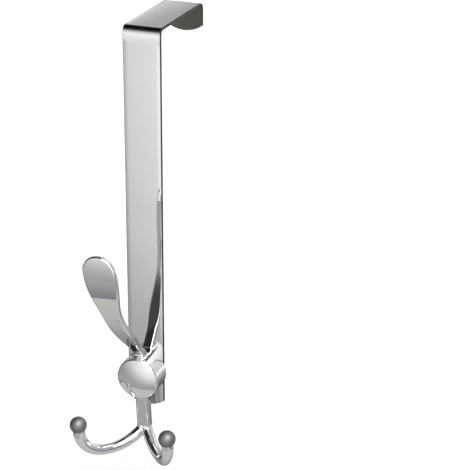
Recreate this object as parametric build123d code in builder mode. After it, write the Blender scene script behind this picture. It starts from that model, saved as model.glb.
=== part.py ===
import os
from math import cos, radians, sin, sqrt, tan

from build123d import *

# Door strap: one polished steel strip folded over the top of the door.
strip_width = 18.0
strip_thickness = 1.2
door_gap = 48.6
bend_radius = 1.9
drop_length = 181.3
lip_length = 9.7
end_rise = 3.0
corner_radius = 0.5
strip_edge = 0.25

# Drum of the hook casting, with a domed front, seated flat on the strap.
drum_lift = 15.6
drum_radius = 10.2
drum_depth = 10.8
dome_rise = 1.5
drum_edge = 0.9
casting_turn_angle = 2.6

# Upper arm: a tongue that leans forward, bends upright and ends in a round paddle.
foot_shift = 1.6
arm_lean_angle = 43.5
arm_straight = 25.3
arm_bend_radius = 75.0
arm_bend_angle = 42.0
arm_height = 75.8
neck_thickness = 2.9
paddle_thickness = 2.1
neck_width = 5.0
neck_height = 15.5
shank_width = 7.0
shank_height = 22.0
waist_width = 9.5
waist_height = 43.8
paddle_width = 15.9
paddle_side = 2.5
saddle_radius = 1.4
foot_blend = 1.2
foot_clearance = 0.8
arm_edge = 0.9

# Stem under the drum, which splits into two round prongs, each with a spigot at its end.
stem_depth = 5.6
stem_wall = 0.2
stem_corner = 1.2
stem_overrun = 2.0
stem_end_radius = 1.0
split_drop = 25.7
split_offset = 0.75
split_radius = 5.0
split_angle = 54.2
bowl_radius = 25.0
bowl_angle = 51.1
bowl_middle_ratio = 0.5
rise_radius = 13.4
rise_length = 0.5
prong_spread_angle = 40.8
prong_root_radius = 2.25
prong_shoulder_radius = 2.6
prong_bowl_radius = 2.45
prong_waist_radius = 2.35
prong_tip_radius = 2.8
spigot_radius = 1.6
spigot_length = 3.5

# Turned ball tips, seated flat on the prong ends and bonded over the spigots.
ball_radius = 4.0
bore_clearance = 0.05
bore_spare = 0.4

# One countersunk screw from the back of the strap into the drum.
screw_radius = 2.0
screw_length = 8.0
screw_head_radius = 3.6
screw_cone_angle = 90.0
screw_clearance = 0.05
hole_spare = 0.6
socket_radius = 1.2
socket_depth = 1.1

# The origin is the middle of the top bar's underside, where it rests on the door.
back_of_front = -door_gap / 2
front_face = back_of_front - strip_thickness
drum_drop = drop_length - drum_lift
casting_plane = Plane(
    origin=(0, front_face, -drum_drop),
    x_dir=(cos(radians(casting_turn_angle)), 0, sin(radians(casting_turn_angle))),
    z_dir=(0, -1, 0),
)
side_plane = Plane(casting_plane.origin, casting_plane.z_dir, -casting_plane.x_dir)
stem_plane = Plane(casting_plane.origin, casting_plane.x_dir, -casting_plane.y_dir)
screw_plane = Plane((0, back_of_front, -drum_drop), (-1, 0, 0), (0, 1, 0))
across = Axis(casting_plane.origin, casting_plane.x_dir)
upward = Axis(casting_plane.origin, casting_plane.y_dir)
outward = Axis(casting_plane.origin, casting_plane.z_dir)
stem_thickness = 2 * (prong_root_radius + stem_wall)
stem_width = 2 * split_offset + stem_thickness
cone_slope = tan(radians(screw_cone_angle / 2))
seat_height = sqrt(ball_radius**2 - prong_tip_radius**2)

with BuildPart() as door_strap:
    # The folded side profile, with spare length that the rounded ends take off.
    with BuildSketch(Plane.YZ):
        with BuildLine():
            FilletPolyline(
                (back_of_front, -drop_length - 2 * end_rise),
                (back_of_front, 0),
                (-back_of_front, 0),
                (-back_of_front, -lip_length - 2 * end_rise),
                radius=bend_radius,
            )
            offset(amount=strip_thickness, side=Side.LEFT)
        make_face()
    extrude(amount=strip_width / 2, both=True)
    # Both ends are cut to a shallow arc.
    for end_plane, end_length in (
        (Plane.XZ.offset(-back_of_front), drop_length),
        (Plane.XZ.offset(back_of_front - strip_thickness), lip_length),
    ):
        with BuildSketch(end_plane):
            with BuildLine():
                end_arc = ThreePointArc(
                    (-strip_width / 2, -end_length),
                    (0, -end_length - end_rise),
                    (strip_width / 2, -end_length),
                )
                Polyline(
                    end_arc @ 1,
                    (strip_width / 2, -end_length - 3 * end_rise),
                    (-strip_width / 2, -end_length - 3 * end_rise),
                    end_arc @ 0,
                )
            make_face()
        extrude(amount=strip_thickness, mode=Mode.SUBTRACT)
    corners = door_strap.edges().filter_by(Axis.Y).filter_by(
        lambda edge: edge.length < 2 * strip_thickness
    )
    fillet(corners, radius=corner_radius)
    # The whole strip has softly broken edges.
    fillet(door_strap.edges().filter_by(Axis.X, reverse=True), radius=strip_edge)
    with Locations(screw_plane):
        CounterSinkHole(
            radius=screw_radius + screw_clearance,
            counter_sink_radius=screw_head_radius + screw_clearance,
            counter_sink_angle=screw_cone_angle,
        )
door_strap.part.label = "door_strap"

# Points of the arm's side profile, forward and up from the drum's centre on the strap.
lean_forward = sin(radians(arm_lean_angle))
lean_up = cos(radians(arm_lean_angle))
arm_foot = (drum_depth + foot_shift) / 2
saddle_floor = sqrt(drum_radius**2 - (neck_width / 2) ** 2)
bend_start = Vector(arm_foot + arm_straight * lean_forward, drum_radius + arm_straight * lean_up)
saddle_apex = Vector(arm_foot - (drum_radius - saddle_floor) * tan(radians(arm_lean_angle)), saddle_floor)
back_start = bend_start + Vector(-lean_up, lean_forward) * neck_thickness
back_foot = Vector(
    foot_clearance,
    back_start.Y - (back_start.X - foot_clearance) / tan(radians(arm_lean_angle)),
)
foot_front = drum_depth - drum_edge
foot_root = drum_radius / 2

with BuildPart() as hook_casting:
    with BuildSketch(side_plane):
        with BuildLine():
            FilletPolyline(
                (foot_front, saddle_floor), saddle_apex, bend_start, radius=saddle_radius
            )
            front_arc = JernArc(
                start=bend_start,
                tangent=(lean_forward, lean_up),
                radius=arm_bend_radius,
                arc_size=arm_bend_angle,
            )
            tip = PolarLine(
                front_arc @ 1, paddle_thickness, direction=(front_arc % 1).rotate(Axis.Z, 90)
            )
            TangentArc(back_start, tip @ 1, tangent=(lean_forward, lean_up))
            Polyline(
                back_start,
                back_foot,
                (foot_clearance, foot_root),
                (foot_front, foot_root),
                (foot_front, saddle_floor),
            )
        make_face()
    extrude(amount=paddle_width, both=True)
    # Seen from the front: a narrow neck that widens to the round paddle.
    paddle_middle = arm_height - paddle_width / 2
    with BuildSketch(casting_plane):
        with BuildLine():
            round_end = CenterArc((0, paddle_middle), paddle_width / 2, 0, 90)
            paddle_flank = Line(round_end @ 0, (paddle_width / 2, paddle_middle - paddle_side))
            Spline(
                paddle_flank @ 1,
                (waist_width / 2, waist_height),
                (shank_width / 2, shank_height),
                (neck_width / 2, neck_height),
                tangents=((0, -1), (0, -1)),
            )
            Polyline((neck_width / 2, neck_height), (neck_width / 2, 0), (0, 0), round_end @ 1)
        make_face()
        mirror(about=Plane.YZ)
    extrude(amount=arm_bend_radius, both=True, mode=Mode.INTERSECT)
    arm_edges = (
        hook_casting.edges()
        .filter_by(across, reverse=True)
        .filter_by(outward, reverse=True)
        .filter_by_position(upward, drum_radius, 2 * arm_height)
    )
    fillet(arm_edges, radius=arm_edge)
    # The drum is turned, with a shallow dome and a crisp rim.
    with BuildSketch(side_plane):
        with BuildLine():
            dome = ThreePointArc(
                (drum_depth, -drum_radius), (drum_depth + dome_rise, 0), (drum_depth, drum_radius)
            )
            Polyline(dome @ 1, (0, drum_radius), (0, -drum_radius), dome @ 0)
        make_face()
        split(bisect_by=Plane.XZ)
    revolve(axis=outward)
    # The arm's foot flows into the drum's top.
    foot_edges = (
        hook_casting.edges()
        .filter_by_position(upward, saddle_floor - drum_edge, drum_radius + drum_edge)
        .filter_by_position(outward, foot_clearance, foot_front)
    )
    fillet(foot_edges, radius=foot_blend)
    rim = hook_casting.edges().filter_by(GeomType.CIRCLE).filter_by_position(
        outward, drum_depth - dome_rise / 2, drum_depth + dome_rise / 2
    )
    fillet(rim, radius=drum_edge)
    # The stem is a squarish bar with a rounded lower end.
    with BuildSketch(stem_plane):
        with Locations((0, stem_depth)):
            RectangleRounded(stem_width, stem_thickness, stem_corner)
    extrude(amount=split_drop + stem_overrun)
    stem_end = hook_casting.faces().sort_by(upward)[0]
    fillet(stem_end.edges(), radius=stem_end_radius)
    ball_seats = []
    # Each prong leaves the stem, dips in a bowl and rises to the seat of its ball.
    for hand in (1, -1):
        prong_way = casting_plane.z_dir.rotate(upward, hand * prong_spread_angle)
        prong_plane = Plane(
            casting_plane.from_local_coords((hand * split_offset, 0, stem_depth)),
            x_dir=prong_way,
            z_dir=prong_way.cross(casting_plane.y_dir),
        )
        with BuildLine(prong_plane) as prong_path:
            run = Line((0, prong_root_radius - split_drop), (0, -split_drop))
            leave = JernArc(run @ 1, run % 1, split_radius, split_angle)
            bowl = JernArc(leave @ 1, leave % 1, bowl_radius, bowl_angle)
            rise = JernArc(bowl @ 1, bowl % 1, rise_radius, 180 - split_angle - bowl_angle)
            top = PolarLine(rise @ 1, rise_length, direction=rise % 1)
        for stretch, place, radius in (
            (run, 0, prong_root_radius),
            (leave, 1, prong_shoulder_radius),
            (bowl, bowl_middle_ratio, prong_bowl_radius),
            (rise, 0, prong_waist_radius),
            (top, 1, prong_tip_radius),
        ):
            with BuildSketch(Plane(stretch @ place, prong_plane.z_dir, stretch % place)):
                Circle(radius)
        sweep(path=prong_path.line, multisection=True)
        ball_seats.append(Plane(top @ 1, prong_plane.z_dir, top % 1))
        with BuildSketch(ball_seats[-1]):
            Circle(spigot_radius)
        extrude(amount=spigot_length)
    # The blind hole for the screw, with the tail of the countersink at its mouth.
    with Locations(Plane(casting_plane.origin, casting_plane.x_dir, -casting_plane.z_dir)):
        CounterSinkHole(
            radius=screw_radius + screw_clearance,
            counter_sink_radius=screw_head_radius - strip_thickness * cone_slope + screw_clearance,
            depth=screw_length - strip_thickness + hole_spare,
            counter_sink_angle=screw_cone_angle,
        )
hook_casting.part.label = "hook_casting"

# Each ball is turned with a flat seat and a blind bore.
ball_names = ("right_ball", "left_ball")
ball_tips = []
for name, seat in zip(ball_names, ball_seats):
    with BuildPart(-seat) as ball_tip:
        with Locations((0, 0, -seat_height)):
            Sphere(ball_radius)
        split(bisect_by=seat)
        Hole(radius=spigot_radius + bore_clearance, depth=spigot_length + bore_spare)
    ball_tip.part.label = name
    ball_tips.append(ball_tip.part)

# The screw's head is flush with the back of the strap, with a hexagon socket.
head_depth = (screw_head_radius - screw_radius) / cone_slope
with BuildPart() as fixing_screw:
    with BuildSketch(Plane(screw_plane.origin, screw_plane.x_dir, -screw_plane.z_dir)):
        Circle(screw_radius)
    extrude(amount=screw_length)
    with BuildSketch(screw_plane):
        Circle(screw_head_radius)
    extrude(amount=-head_depth, taper=screw_cone_angle / 2)
    with BuildSketch(screw_plane):
        RegularPolygon(socket_radius, 6)
    extrude(amount=-socket_depth, mode=Mode.SUBTRACT)
fixing_screw.part.label = "fixing_screw"

os.makedirs("parts", exist_ok=True)
export_step(door_strap.part, "parts/door_strap.step")
export_step(hook_casting.part, "parts/hook_casting.step")
export_step(fixing_screw.part, "parts/fixing_screw.step")
for ball in ball_tips:
    export_step(ball, f"parts/{ball.label}.step")
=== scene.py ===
import math

import bmesh
import bpy
from mathutils import Matrix, Vector

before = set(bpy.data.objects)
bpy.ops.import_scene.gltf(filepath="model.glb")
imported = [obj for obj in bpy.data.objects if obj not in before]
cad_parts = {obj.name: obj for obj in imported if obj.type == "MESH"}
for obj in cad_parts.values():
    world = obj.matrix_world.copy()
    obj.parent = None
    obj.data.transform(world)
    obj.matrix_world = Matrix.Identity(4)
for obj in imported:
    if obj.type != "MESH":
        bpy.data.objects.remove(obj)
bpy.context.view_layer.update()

# Door strap: one strip of stainless steel, 1.2 mm thick, folded over the door's top edge.
# The outer side is polished to a mirror, and rolls off a little along its two long edges.
# The inner side is drawn dull and dark grey. The sheared edges are drawn dull and near black, and on the
# right that black reaches a narrow band of the polished face: painted shade for the dark line along that
# edge.
strap_steel = (0.755, 0.765, 0.755)
strap_drift = 0.02
strap_shine = (0.05, 0.09)
strap_grain = 1.0
strap_grain_depth = 0.05
strap_lines = (2600.0, 2600.0, 60.0)
inner_dark_steel = (0.17, 0.17, 0.155)
mill_shine = 0.45
inner_reach = 0.0246
inner_top = 0.0003
sheared_edge_and_painted_shade = (0.05, 0.05, 0.048)
sheared_shine = 0.5
left_dark_start = -0.00888
right_dark_start = 0.0086
roll_start = 0.0060
roll_end = 0.0090
roll_tilt = 0.2
drift_size = 45.0
drift_detail = 3.0
drift_low = 0.3
drift_high = 0.7
grain_detail = 2.0
grain_height = 0.00002
mix_sockets = {"FLOAT": (2, 3, 0), "VECTOR": (4, 5, 1), "RGBA": (6, 7, 2)}


def feed(tree, socket, source):
    """Link a node's result to a socket, or set a plain value on it."""
    if isinstance(source, bpy.types.NodeSocket):
        tree.links.new(source, socket)
    else:
        socket.default_value = source


def number_by(tree, kind, first, second=None):
    """Work on one number, or join two."""
    joint = tree.nodes.new("ShaderNodeMath")
    joint.operation = kind
    feed(tree, joint.inputs[0], first)
    if second is not None:
        feed(tree, joint.inputs[1], second)
    return joint.outputs["Value"]


def vector_by(tree, kind, first, second=None):
    """Work on one direction or place, or join two."""
    joint = tree.nodes.new("ShaderNodeVectorMath")
    joint.operation = kind
    feed(tree, joint.inputs[0], first)
    if second is not None:
        feed(tree, joint.inputs[1], second)
    return joint.outputs


def ramp_by(tree, value, low, high, start, end):
    """Take a number from one range to another, held at both ends."""
    change = tree.nodes.new("ShaderNodeMapRange")
    change.inputs["From Min"].default_value = low
    change.inputs["From Max"].default_value = high
    change.inputs["To Min"].default_value = start
    change.inputs["To Max"].default_value = end
    tree.links.new(value, change.inputs["Value"])
    return change.outputs["Result"]


def between(tree, kind, share, first, second):
    """Go from one number, direction or colour to another, by a share from 0 to 1."""
    first_socket, second_socket, result_socket = mix_sockets[kind]
    blend = tree.nodes.new("ShaderNodeMix")
    blend.data_type = kind
    tree.links.new(share, blend.inputs[0])
    feed(tree, blend.inputs[first_socket], first)
    feed(tree, blend.inputs[second_socket], second)
    return blend.outputs[result_socket]


def own_place(tree):
    """Where a point of a piece lies."""
    return tree.nodes.new("ShaderNodeTexCoord").outputs["Object"]


def own_axes(tree):
    """Where a point of a piece lies, along each axis."""
    split = tree.nodes.new("ShaderNodeSeparateXYZ")
    tree.links.new(own_place(tree), split.inputs["Vector"])
    return split.outputs


def metal(name, colour, drift, shine, grain_size, grain_depth, stretch):
    """Bare metal with a faint tone drift, polishing haze and a fine grain along one way."""
    material = bpy.data.materials.new(name)
    material.use_nodes = True
    tree = material.node_tree
    surface = tree.nodes["Principled BSDF"]
    surface.inputs["Metallic"].default_value = 1.0
    place = own_place(tree)
    patches = tree.nodes.new("ShaderNodeTexNoise")
    patches.inputs["Scale"].default_value = drift_size
    patches.inputs["Detail"].default_value = drift_detail
    tree.links.new(place, patches.inputs["Vector"])
    tone = tree.nodes.new("ShaderNodeValToRGB")
    darker, lighter = tone.color_ramp.elements
    darker.position = drift_low
    lighter.position = drift_high
    darker.color = (*[part * (1 - drift) for part in colour], 1)
    lighter.color = (*[min(part * (1 + drift), 1) for part in colour], 1)
    tree.links.new(patches.outputs["Fac"], tone.inputs["Fac"])
    tree.links.new(tone.outputs["Color"], surface.inputs["Base Color"])
    along = tree.nodes.new("ShaderNodeMapping")
    along.inputs["Scale"].default_value = stretch
    tree.links.new(place, along.inputs["Vector"])
    grain = tree.nodes.new("ShaderNodeTexNoise")
    grain.inputs["Scale"].default_value = grain_size
    grain.inputs["Detail"].default_value = grain_detail
    tree.links.new(along.outputs["Vector"], grain.inputs["Vector"])
    haze = ramp_by(tree, grain.outputs["Fac"], 0.0, 1.0, *shine)
    tree.links.new(haze, surface.inputs["Roughness"])
    relief = tree.nodes.new("ShaderNodeBump")
    relief.inputs["Strength"].default_value = grain_depth
    relief.inputs["Distance"].default_value = grain_height
    tree.links.new(grain.outputs["Fac"], relief.inputs["Height"])
    tree.links.new(relief.outputs["Normal"], surface.inputs["Normal"])
    return material


def finish_node(node, material):
    """Give a solid of the frame its finish."""
    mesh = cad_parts[node].data
    mesh.materials.clear()
    mesh.materials.append(material)


mirror_steel = metal(
    "mirror_steel", strap_steel, strap_drift, strap_shine, strap_grain, strap_grain_depth, strap_lines
)
finish_node("door_strap", mirror_steel)
tree = mirror_steel.node_tree
surface = tree.nodes["Principled BSDF"]
axes = own_axes(tree)
inside = number_by(tree, "LESS_THAN", number_by(tree, "ABSOLUTE", axes["Y"]), inner_reach)
inner = number_by(tree, "MULTIPLY", inside, number_by(tree, "LESS_THAN", axes["Z"], inner_top))
right_cut_and_shade = number_by(tree, "GREATER_THAN", axes["X"], right_dark_start)
left_cut_and_shade = number_by(tree, "LESS_THAN", axes["X"], left_dark_start)
sheared_and_shade_band = number_by(tree, "MAXIMUM", right_cut_and_shade, left_cut_and_shade)
# Painted shade: the near black of the edges, which on the right runs onto the polished face as a dark
# line. The inner side is drawn dull and dark grey.
for mask, dull_colour, dull_shine in (
    (inner, inner_dark_steel, mill_shine),
    (sheared_and_shade_band, sheared_edge_and_painted_shade, sheared_shine),
):
    for socket, kind, dull in (
        ("Base Color", "RGBA", (*dull_colour, 1)),
        ("Roughness", "FLOAT", dull_shine),
    ):
        bright = surface.inputs[socket].links[0].from_socket
        tree.links.new(between(tree, kind, mask, bright, dull), surface.inputs[socket])

reach = ramp_by(tree, number_by(tree, "ABSOLUTE", axes["X"]), roll_start, roll_end, 0.0, 1.0)
tilt = number_by(tree, "MULTIPLY", number_by(tree, "MULTIPLY", reach, reach), roll_tilt)
side = number_by(tree, "SIGN", axes["X"])
aside = tree.nodes.new("ShaderNodeCombineXYZ")
tree.links.new(number_by(tree, "MULTIPLY", tilt, side), aside.inputs["X"])
flat = tree.nodes.new("ShaderNodeNewGeometry").outputs["Normal"]
leaning = vector_by(tree, "ADD", flat, aside.outputs["Vector"])["Vector"]
rolled = vector_by(tree, "NORMALIZE", leaning)["Vector"]
tree.links.new(rolled, tree.nodes["Bump"].inputs["Normal"])

# Fixing screw: a countersunk machine screw with a hexagon socket, flush with the strap's back.
# It is zinc-plated steel, a little dull beside the polished strap.
screw_zinc = (0.62, 0.63, 0.62)
screw_drift = 0.06
screw_shine = (0.25, 0.4)
screw_grain = 900.0
screw_grain_depth = 0.2
even_grain = (1.0, 1.0, 1.0)
plated_screw = metal(
    "plated_screw", screw_zinc, screw_drift, screw_shine, screw_grain, screw_grain_depth, even_grain
)
finish_node("fixing_screw", plated_screw)

# Hook casting: drum, paddle arm, stem and two prongs die-cast in zinc as one piece.
# It is polished, then plated with bright chrome, and held on the strap by the screw.
# The middle of the dome takes its shading from the dome's own sphere, so it mirrors smoothly.
chrome_tint = (0.86, 0.87, 0.88)
chrome_edge = (0.5, 0.5, 0.5)
chrome_drift = 0.015
chrome_shine = (0.02, 0.05)
chrome_grain = 260.0
chrome_grain_depth = 0.03
dome_tip = (0.0, -0.0378, -0.1657)
dome_radius = 0.03543
dome_centre = (dome_tip[0], dome_tip[1] + dome_radius, dome_tip[2])
dome_patch = 0.0019
bright_chrome = metal(
    "bright_chrome", chrome_tint, chrome_drift, chrome_shine, chrome_grain, chrome_grain_depth, even_grain
)
finish_node("hook_casting", bright_chrome)
tree = bright_chrome.node_tree
surface = tree.nodes["Principled BSDF"]
surface.inputs["Specular Tint"].default_value = (*chrome_edge, 1)
place = own_place(tree)
from_tip = vector_by(tree, "DISTANCE", place, dome_tip)["Value"]
from_centre = vector_by(tree, "SUBTRACT", place, dome_centre)["Vector"]
outward = vector_by(tree, "NORMALIZE", from_centre)["Vector"]
at_tip = number_by(tree, "LESS_THAN", from_tip, dome_patch)
shape = tree.nodes.new("ShaderNodeNewGeometry").outputs["Normal"]
facing = between(tree, "VECTOR", at_tip, shape, outward)
tree.links.new(facing, tree.nodes["Bump"].inputs["Normal"])

# Ball tips: two turned balls with a dark satin nickel finish.
# Each is bonded over the spigot at its prong's end and seats on the prong's flat. The polished
# paddle and dome do not mirror them, so no dark dot shows there.
ball_nickel = (0.27, 0.27, 0.27)
ball_edge = (0.0, 0.0, 0.0)
ball_drift = 0.04
ball_shine = (0.50, 0.58)
ball_grain = 700.0
ball_grain_depth = 0.08
satin_nickel = metal(
    "satin_nickel", ball_nickel, ball_drift, ball_shine, ball_grain, ball_grain_depth, even_grain
)
surface = satin_nickel.node_tree.nodes["Principled BSDF"]
surface.inputs["Specular Tint"].default_value = (*ball_edge, 1)
for ball in ("right_ball", "left_ball"):
    finish_node(ball, satin_nickel)
    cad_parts[ball].visible_glossy = False

# Stand: a matt board under the hook, which shows as the pale foot of what the metal mirrors.
# In the picture it is seen only in the metal, since the white sheet behind it fills the rest.
stand_left = -0.11
stand_right = 0.135
stand_front = -0.1375
stand_slope = -0.155
stand_back = 0.0
stand_height = -0.261
stand_colour = (0.48, 0.47, 0.445)
stand_top_up = 0.02
paper_dull = 0.9
paper_gloss = 0.5


def sheet(name, corners):
    """A flat sheet of the studio, which is no piece of the hook."""
    mesh = bpy.data.meshes.new(name)
    mesh.from_pydata(corners, [], [tuple(range(len(corners)))])
    piece = bpy.data.objects.new(name, mesh)
    bpy.context.scene.collection.objects.link(piece)
    return piece


def card_paper(name, colour, dull, gloss):
    """Matt card or paper that can be topped up with a white glow."""
    material = bpy.data.materials.new(name)
    material.use_nodes = True
    tree = material.node_tree
    paper = tree.nodes["Principled BSDF"]
    paper.inputs["Base Color"].default_value = (*colour, 1)
    paper.inputs["Roughness"].default_value = dull
    paper.inputs["Specular IOR Level"].default_value = gloss
    paper.inputs["Emission Color"].default_value = (1, 1, 1, 1)
    return material, tree, paper


def seen_rays(tree):
    """One for rays that show a surface to the camera, straight or by way of metal or glass."""
    path = tree.nodes.new("ShaderNodeLightPath")
    seen = number_by(tree, "MAXIMUM", path.outputs["Is Camera Ray"], path.outputs["Is Glossy Ray"])
    return number_by(tree, "MAXIMUM", seen, path.outputs["Is Transmission Ray"])


stand = sheet(
    "stand",
    [
        (stand_left, stand_front + stand_slope * stand_left, stand_height),
        (stand_right, stand_front + stand_slope * stand_right, stand_height),
        (stand_right, stand_back, stand_height),
        (stand_left, stand_back, stand_height),
    ],
)
matt_stand, tree, paper = card_paper("matt_stand", stand_colour, paper_dull, paper_gloss)
shown = number_by(tree, "MULTIPLY", seen_rays(tree), stand_top_up)
tree.links.new(shown, paper.inputs["Emission Strength"])
stand.data.materials.append(matt_stand)

# Sweep: a white paper sheet that starts under the hook and runs out flat behind it.
# It is the picture's background, and keeps the hook's shadow.
sweep_height = -0.2605
sweep_front = -0.02
sweep_back = 2.4
sweep_side = 2.2
sweep_colour = (0.80, 0.80, 0.79)
sweep_white = -0.01
sweep_low = 0.0
sweep_top_up = 0.25
sweep_slope = 0.2
sweep_right = 0.15
sweep_slant = 0.53
sweep_left = 0.10
sweep_soft = 0.04
far_start = 0.12
far_end = 0.42
far_painted_light = 0.2


def level_sheet(name, side, front, back, height):
    """A sheet laid flat, as wide on the left as on the right."""
    corners = [(-side, front, height), (side, front, height), (side, back, height), (-side, back, height)]
    return sheet(name, corners)


def leaning_line(tree, across, along, lean):
    """How far a point lies to the right of a line that leans across the sheet."""
    return number_by(tree, "ADD", across, number_by(tree, "MULTIPLY", along, lean))


sweep = level_sheet("sweep", sweep_side, sweep_front, sweep_back, sweep_height)
matt_white, tree, paper = card_paper("matt_white", sweep_colour, paper_dull, paper_gloss)
axes = own_axes(tree)
# The sheet glows on top of its colour for the camera and for mirrored rays. In the wedge behind the hook
# that the camera sees, the glow is even and makes the background white. Right of that wedge it grows
# farther back: painted light. Left of it there is none.
behind = ramp_by(tree, axes["Y"], sweep_front, sweep_white, sweep_low, sweep_top_up)
far_painted_glow = ramp_by(tree, axes["Y"], far_start, far_end, sweep_low, far_painted_light)
right_line = leaning_line(tree, axes["X"], axes["Y"], sweep_slope)
inward = ramp_by(tree, right_line, sweep_right, sweep_right + sweep_soft, 1.0, 0.0)
left_line = leaning_line(tree, axes["X"], axes["Y"], sweep_slant)
left_fade = ramp_by(tree, left_line, -sweep_left - sweep_soft, -sweep_left, 0.0, 1.0)
level = between(tree, "FLOAT", inward, far_painted_glow, behind)
shown = number_by(tree, "MULTIPLY", number_by(tree, "MULTIPLY", level, left_fade), seen_rays(tree))
tree.links.new(shown, paper.inputs["Emission Strength"])
sweep.data.materials.append(matt_white)

# Grey card: laid on the sweep just behind the hook, and hidden from the camera.
# It is a painted reflection that only the polished metal shows, as a dark line against the white, paler
# near the front and on the right.
card_lift = 0.002
card_front = -0.02
card_back = 0.32
card_side = 0.5
card_grey = (0.235, 0.235, 0.23)
card_pale = (0.5, 0.5, 0.5)
card_dull = 0.95
card_near = 0.02
card_dark = 0.07
card_aside = 0.06
card_clear = 0.13


def only_mirrored(piece):
    """Let a card show in the metal alone, and light or shade nothing else."""
    piece.visible_camera = False
    piece.visible_diffuse = False
    piece.visible_shadow = False


grey_card = level_sheet("grey_card", card_side, card_front, card_back, sweep_height + card_lift)
only_mirrored(grey_card)
matt_grey, tree, paper = card_paper("matt_grey", card_grey, card_dull, paper_gloss)
axes = own_axes(tree)
near = ramp_by(tree, axes["Y"], card_near, card_dark, 1.0, 0.0)
right = ramp_by(tree, axes["X"], card_aside, card_clear, 0.0, 1.0)
paler = number_by(tree, "MAXIMUM", near, right)
tone = between(tree, "RGBA", paler, (*card_grey, 1), (*card_pale, 1))
tree.links.new(tone, paper.inputs["Base Color"])
grey_card.data.materials.append(matt_grey)

# Front wall: a sheet a forearm's length in front, which glows most near the middle of its top edge.
# Its glow is painted light, hidden from the camera and from matt surfaces: it shows only as what the
# strap, the dome and the paddle mirror.
wall_place = -0.25
wall_left = -0.5
wall_right = 0.6
wall_low = -0.6
wall_high = 0.0
wall_upward = (
    (wall_low, 0.30),
    (-0.43, 0.42),
    (-0.365, 0.53),
    (-0.32, 0.56),
    (-0.29, 0.63),
    (-0.258, 0.73),
    (-0.23, 0.86),
    (-0.205, 0.98),
    (-0.16, 1.10),
    (-0.10, 1.20),
    (wall_high, 1.22),
)
wall_across = (
    (wall_left, 0.20),
    (-0.23, 0.38),
    (-0.17, 0.48),
    (-0.12, 0.62),
    (-0.10, 0.68),
    (-0.07, 0.81),
    (0.0, 1.0),
    (0.05, 1.05),
    (0.12, 0.95),
    (0.25, 0.55),
    (0.40, 0.25),
    (wall_right, 0.10),
)
wall_even = 0.66
wall_even_from = -0.25
wall_even_to = -0.33
wall_level = 1.09
brightest = 1.25
halfway = 0.5
glow_only = (0.0, 0.0, 0.0)
fully_dull = 1.0
no_gloss = 0.0


def upright_sheet(name, sides, place, low, high):
    """A sheet that stands upright and faces the front."""
    left, right = sides
    corners = [(left, place, low), (right, place, low), (right, place, high), (left, place, high)]
    return sheet(name, corners)


def levels_along(tree, value, steps):
    """Brightness at each place along one way, straight between the places given."""
    curve = tree.nodes.new("ShaderNodeFloatCurve")
    low = steps[0][0]
    high = steps[-1][0]
    tree.links.new(ramp_by(tree, value, low, high, 0.0, 1.0), curve.inputs["Value"])
    points = curve.mapping.curves[0].points
    while len(points) < len(steps):
        points.new(halfway, halfway)
    for point, (spot, level) in zip(points, steps):
        point.location = ((spot - low) / (high - low), level / brightest)
        point.handle_type = "VECTOR"
    curve.mapping.update()
    return curve.outputs["Value"]


wall = upright_sheet("front_wall", (wall_left, wall_right), wall_place, wall_low, wall_high)
only_mirrored(wall)
painted_glow_white, tree, paper = card_paper("painted_glow_white", glow_only, fully_dull, no_gloss)
axes = own_axes(tree)
evening = ramp_by(tree, axes["Z"], wall_even_to, wall_even_from, 1.0, 0.0)
across = levels_along(tree, axes["X"], wall_across)
upward = levels_along(tree, axes["Z"], wall_upward)
evened = between(tree, "FLOAT", evening, across, wall_even / brightest)
level = number_by(tree, "MULTIPLY", evened, upward)
glow = number_by(tree, "MULTIPLY", level, wall_level * brightest**2)
tree.links.new(glow, paper.inputs["Emission Strength"])
wall.data.materials.append(painted_glow_white)

# Black flag: two narrow cards joined at a right angle close over the strap's top fold, hidden from the
# camera.
# They keep the lamp out of the fold, which so shows as a dark line. Their low edge glows, a painted light
# that shows only in the metal and gives the strap a painted pale band under that line.
flag_sides = (-0.04, 0.022)
flag_front = -0.046
flag_back = -0.006
flag_low = -0.0125
flag_high = 0.034
flag_black = (0.01, 0.01, 0.01)
flag_upward = (
    (flag_low, 0.925),
    (-0.0112, 0.95),
    (-0.0100, 1.03),
    (-0.0090, 1.14),
    (-0.0080, 1.13),
    (-0.0035, 0.97),
    (0.001, 0.76),
    (0.008, 0.46),
    (0.016, 0.10),
    (flag_high, 0.0),
)
black_with_painted_glow, tree, paper = card_paper("black_with_painted_glow", flag_black, fully_dull, no_gloss)
upward = levels_along(tree, own_axes(tree)["Z"], flag_upward)
glow = number_by(tree, "MULTIPLY", upward, brightest)
tree.links.new(glow, paper.inputs["Emission Strength"])
flag_left, flag_right = flag_sides
flag_lid = [
    (flag_left, flag_front, flag_high),
    (flag_right, flag_front, flag_high),
    (flag_right, flag_back, flag_high),
    (flag_left, flag_back, flag_high),
]
for flag in (
    upright_sheet("flag_upright", flag_sides, flag_front, flag_low, flag_high),
    sheet("flag_top", flag_lid),
):
    only_mirrored(flag)
    flag.data.materials.append(black_with_painted_glow)

# Bar card: a small graded card behind the strap's top, which the flat bar mirrors.
# It glows brighter towards its lower left, a painted light that shows only in the metal; the camera does
# not see it.
bar_card_place = 0.1
bar_card_sides = (-0.07, -0.015)
bar_card_low = 0.018
bar_card_high = 0.041
bar_card_rise = 2.2
bar_card_span = (0.006, 0.028)
bar_card_levels = (0.80, 0.455)
bar_card = upright_sheet("bar_card", bar_card_sides, bar_card_place, bar_card_low, bar_card_high)
only_mirrored(bar_card)
graded_painted_glow, tree, paper = card_paper("graded_painted_glow", glow_only, fully_dull, no_gloss)
axes = own_axes(tree)
slanting = leaning_line(tree, axes["X"], axes["Z"], bar_card_rise)
glow = ramp_by(tree, slanting, *bar_card_span, *bar_card_levels)
tree.links.new(glow, paper.inputs["Emission Strength"])
bar_card.data.materials.append(graded_painted_glow)

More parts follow.
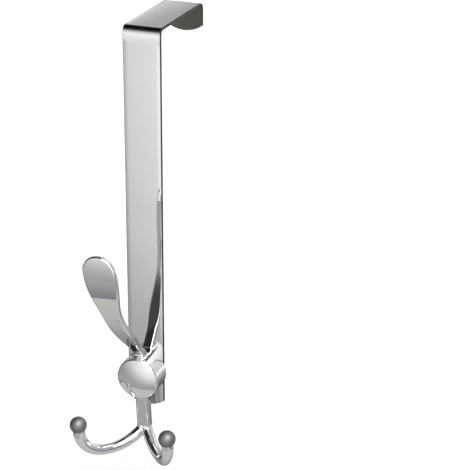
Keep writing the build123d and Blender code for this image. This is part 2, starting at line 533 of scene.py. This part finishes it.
# Backdrop: a pale round wall far outside, which gives every other view a light ground.
# Only the camera sees it. The metal mirrors the lamps and the cards instead.
backdrop_radius = 6.0
backdrop_fineness = 4
backdrop_level = 0.82
backdrop_mesh = bpy.data.meshes.new("backdrop")
form = bmesh.new()
bmesh.ops.create_icosphere(form, subdivisions=backdrop_fineness, radius=backdrop_radius)
form.to_mesh(backdrop_mesh)
form.free()
backdrop = bpy.data.objects.new("backdrop", backdrop_mesh)
bpy.context.scene.collection.objects.link(backdrop)
backdrop.visible_glossy = False
backdrop.visible_transmission = False
backdrop.visible_diffuse = False
backdrop.visible_shadow = False
pale_wall, _, paper = card_paper("pale_wall", glow_only, paper_dull, paper_gloss)
paper.inputs["Emission Strength"].default_value = backdrop_level
backdrop_mesh.materials.append(pale_wall)

# Studio: soft light from one strong lamp box high in front on the right, with pale walls on the
# right and behind, a small lit patch of ceiling on the left, and a faint light all round.
lamp_way = (36.0, 52.0)
lamp_level = 8.0
lamp_spread = ((0.0, 0.0), (0.9415, 0.0), (0.9635, 0.4), (0.985, 1.0), (1.0, 1.0))
back_way = (-165.0, 12.0)
back_level = 0.45
back_spread = ((0.0, 0.0), (0.82, 0.0), (0.857, 0.09), (0.895, 0.26), (0.945, 1.0), (1.0, 1.0))
right_way = (105.0, 40.0)
right_level = 0.45
right_spread = ((0.0, 0.0), (0.72, 0.0), (0.87, 0.8), (1.0, 1.0))
corner_way = (150.0, 6.0)
corner_level = 0.72
corner_spread = ((0.0, 0.0), (0.90, 0.0), (0.955, 1.0), (1.0, 1.0))
ceiling_way = (-94.0, 64.0)
ceiling_level = 0.53
ceiling_spread = ((0.0, 0.0), (0.9924, 0.0), (0.9973, 1.0), (1.0, 1.0))
floor_way = (0.0, -90.0)
floor_level = 0.12
floor_spread = ((0.0, 0.0), (0.5, 0.0), (0.62, 0.6), (1.0, 1.0))
round_level = 0.035


def heading(turn, rise):
    """Direction from the hook, turned from straight ahead towards the right, and raised."""
    turn = math.radians(turn)
    rise = math.radians(rise)
    return Vector((math.sin(turn) * math.cos(rise), -math.cos(turn) * math.cos(rise), math.sin(rise)))


def glow_from(tree, way, level, steps):
    """Light from one way, by how far a direction lies from it."""
    around = tree.nodes.new("ShaderNodeTexCoord").outputs["Generated"]
    towards = vector_by(tree, "DOT_PRODUCT", around, heading(*way))["Value"]
    spread = tree.nodes.new("ShaderNodeValToRGB")
    elements = spread.color_ramp.elements
    while len(elements) < len(steps):
        elements.new(halfway)
    for element, (spot, share) in zip(elements, steps):
        element.position = spot
        element.color = (share, share, share, 1)
    tree.links.new(ramp_by(tree, towards, -1.0, 1.0, 0.0, 1.0), spread.inputs["Fac"])
    return number_by(tree, "MULTIPLY", spread.outputs["Color"], level)


studio = bpy.data.worlds.new("studio")
bpy.context.scene.world = studio
studio.use_nodes = True
tree = studio.node_tree
room = tree.nodes["Background"]
room.inputs["Color"].default_value = (1, 1, 1, 1)
right_wall = glow_from(tree, right_way, right_level, right_spread)
right_corner = glow_from(tree, corner_way, corner_level, corner_spread)
strength = number_by(tree, "MAXIMUM", right_wall, right_corner)
for way, level, steps in (
    (lamp_way, lamp_level, lamp_spread),
    (back_way, back_level, back_spread),
    (ceiling_way, ceiling_level, ceiling_spread),
    (floor_way, floor_level, floor_spread),
):
    strength = number_by(tree, "ADD", strength, glow_from(tree, way, level, steps))
tree.links.new(number_by(tree, "ADD", strength, round_level), room.inputs["Strength"])

# Camera: a long lens from the front right, a little above the hook.
# It stands about 70 cm away, and takes in a square picture.
camera_place = (0.25203, -0.60161, 0.17064)
camera_turn = math.radians(19.8457)
camera_drop = math.radians(23.0135)
camera_roll = math.radians(0.6237)
picture_width = 470.0
lens_reach = 1490.87
film_width = 36.0
lens = bpy.data.cameras.new("lens")
lens.sensor_width = film_width
lens.lens = film_width * lens_reach / picture_width
camera = bpy.data.objects.new("camera", lens)
camera.matrix_world = (
    Matrix.Translation(camera_place)
    @ Matrix.Rotation(camera_turn, 4, "Z")
    @ Matrix.Rotation(math.pi / 2 - camera_drop, 4, "X")
    @ Matrix.Rotation(camera_roll, 4, "Z")
)
bpy.context.scene.collection.objects.link(camera)
bpy.context.scene.camera = camera
bpy.context.scene.view_settings.view_transform = "Standard"
